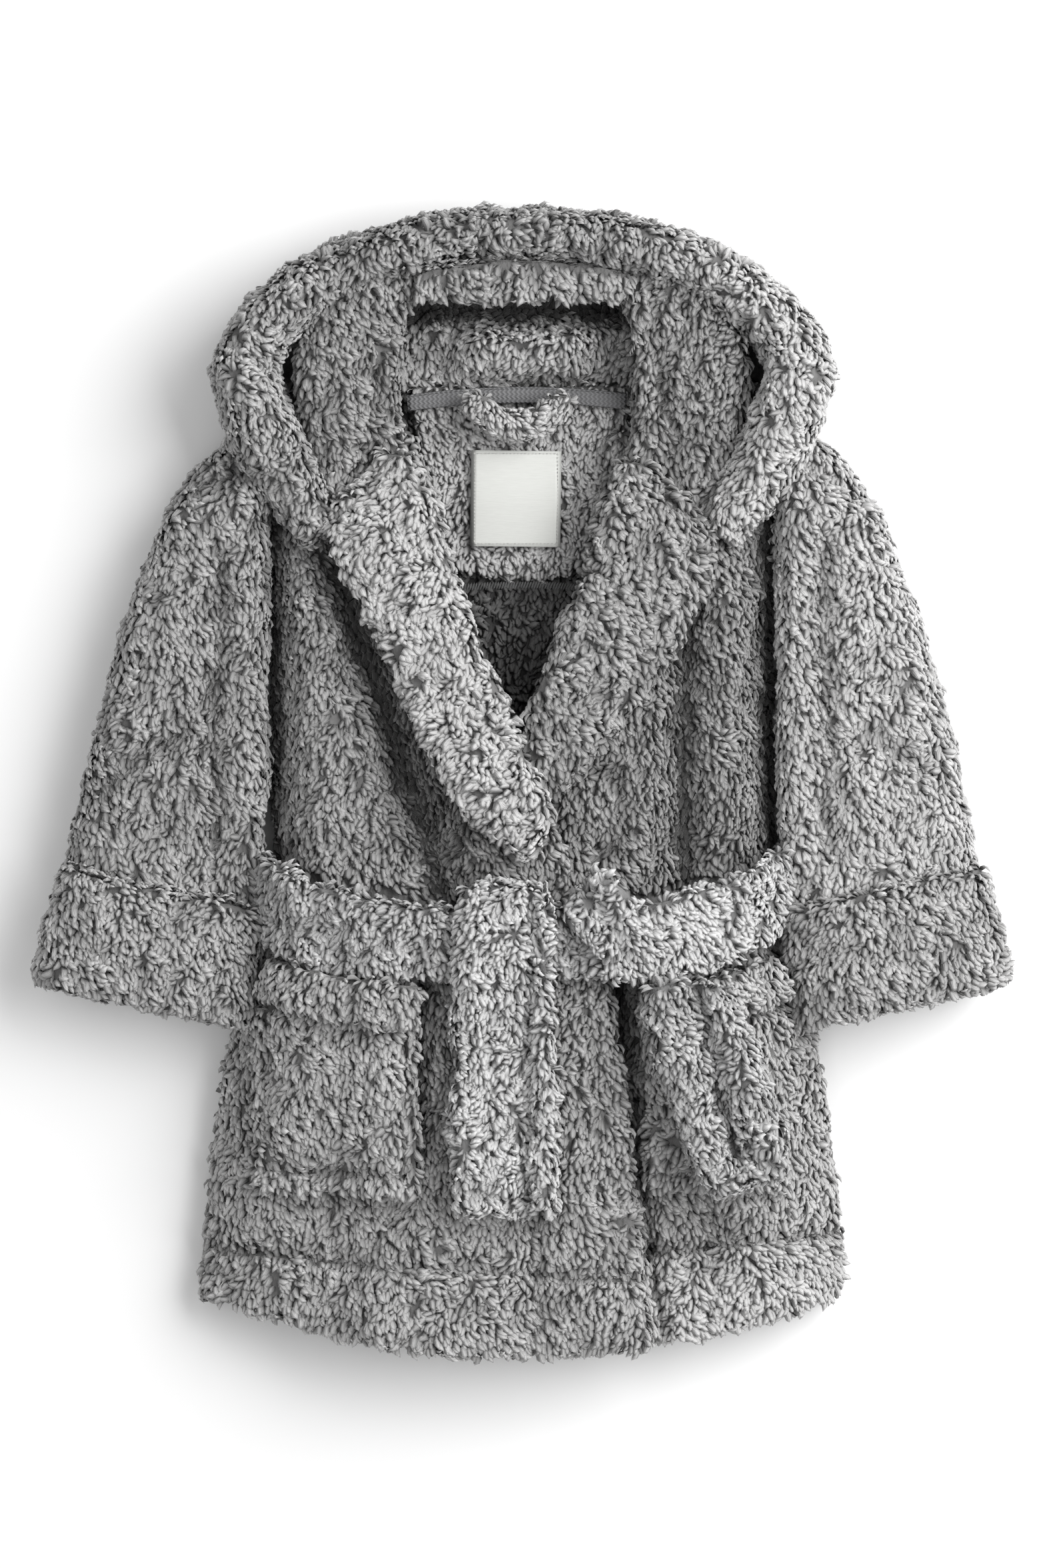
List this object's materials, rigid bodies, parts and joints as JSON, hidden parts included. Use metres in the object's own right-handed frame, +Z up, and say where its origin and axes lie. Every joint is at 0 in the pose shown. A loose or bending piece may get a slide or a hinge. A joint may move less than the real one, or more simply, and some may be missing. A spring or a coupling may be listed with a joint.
{
  "type": "hooded bathrobe",
  "caption": "Child's wrap bathrobe in long-pile fleece with hood, turned-back cuffs, patch pockets and a tied belt, laid flat on its back.",
  "frame": {"origin": "under the middle of the robe's box, on the surface it lies on", "axes": "+X across to the wearer's left, +Y from hem to hood, +Z up out of the surface, through the robe from back to front"},
  "size_m": [0.5074, 0.6028, 0.087],
  "materials": {
    "fleece": "long curly sherpa pile, matt",
    "fleece_inside": "shorter pile on the inner side, matt",
    "belt_fleece": "loose fluffy pile, matt",
    "twill_tape": "herringbone twill, matt",
    "satin_label": "smooth woven satin, soft sheen"
  },
  "bodies": {
    "robe": {"back_panel": "fleece", "hem_fold_back": "fleece_inside", "back_neck_facing": "fleece_inside", "over_front": "fleece", "under_front": "fleece", "hem_fold_over": "fleece_inside", "hem_fold_under": "fleece_inside", "over_front_facing": "fleece_inside", "over_lapel": "fleece", "under_lapel": "fleece", "neck_tape": "twill_tape", "neck_label": "satin_label", "left_pocket": "fleece", "left_pocket_band": "fleece", "right_pocket": "fleece", "right_pocket_band": "fleece", "left_sleeve_head": "fleece", "right_sleeve_head": "fleece", "left_rim_end": "fleece", "left_collar": "fleece", "right_rim_end": "fleece", "right_collar": "fleece", "belt_left": "belt_fleece", "belt_right": "belt_fleece", "belt_back": "belt_fleece", "belt_knot": "belt_fleece", "belt_turn": "belt_fleece"},
    "left_sleeve": {"left_sleeve": "fleece", "left_cuff": "fleece"},
    "right_sleeve": {"right_sleeve": "fleece", "right_cuff": "fleece"},
    "hood": {"hood_back": "fleece", "hood_gusset": "fleece", "left_hood_side": "fleece", "right_hood_side": "fleece", "hood_rim": "fleece"},
    "left_belt_tail": {"left_belt_tail": "belt_fleece"},
    "right_belt_tail": {"right_belt_tail": "belt_fleece"},
    "hanging_loop": {"hanging_loop": "belt_fleece"}
  },
  "joints": [
    {"name": "left_sleeve_fold", "type": "hinge", "parent": "robe", "child": "left_sleeve", "pos_m": [-0.131, 0.03857, 0.05], "axis": [0, 1, 0], "range_deg": [0, 100]},
    {"name": "right_sleeve_fold", "type": "hinge", "parent": "robe", "child": "right_sleeve", "pos_m": [0.131, 0.03857, 0.05], "axis": [0, -1, 0], "range_deg": [0, 80]},
    {"name": "hood_lift", "type": "hinge", "parent": "robe", "child": "hood", "pos_m": [0, 0.20757, 0.028], "axis": [1, 0, 0], "range_deg": [0, 29]},
    {"name": "left_tail_lift", "type": "hinge", "parent": "robe", "child": "left_belt_tail", "pos_m": [-0.01, -0.10063, 0.0775], "axis": [-1, 0, 0], "range_deg": [0, 100]},
    {"name": "right_tail_lift", "type": "hinge", "parent": "robe", "child": "right_belt_tail", "pos_m": [0.08, -0.10063, 0.0775], "axis": [-1, 0, 0], "range_deg": [0, 100]},
    {"name": "loop_flip", "type": "hinge", "parent": "robe", "child": "hanging_loop", "pos_m": [0, 0.20407, 0.0219], "axis": [-1, 0, 0], "range_deg": [0, 80]}
  ]
}
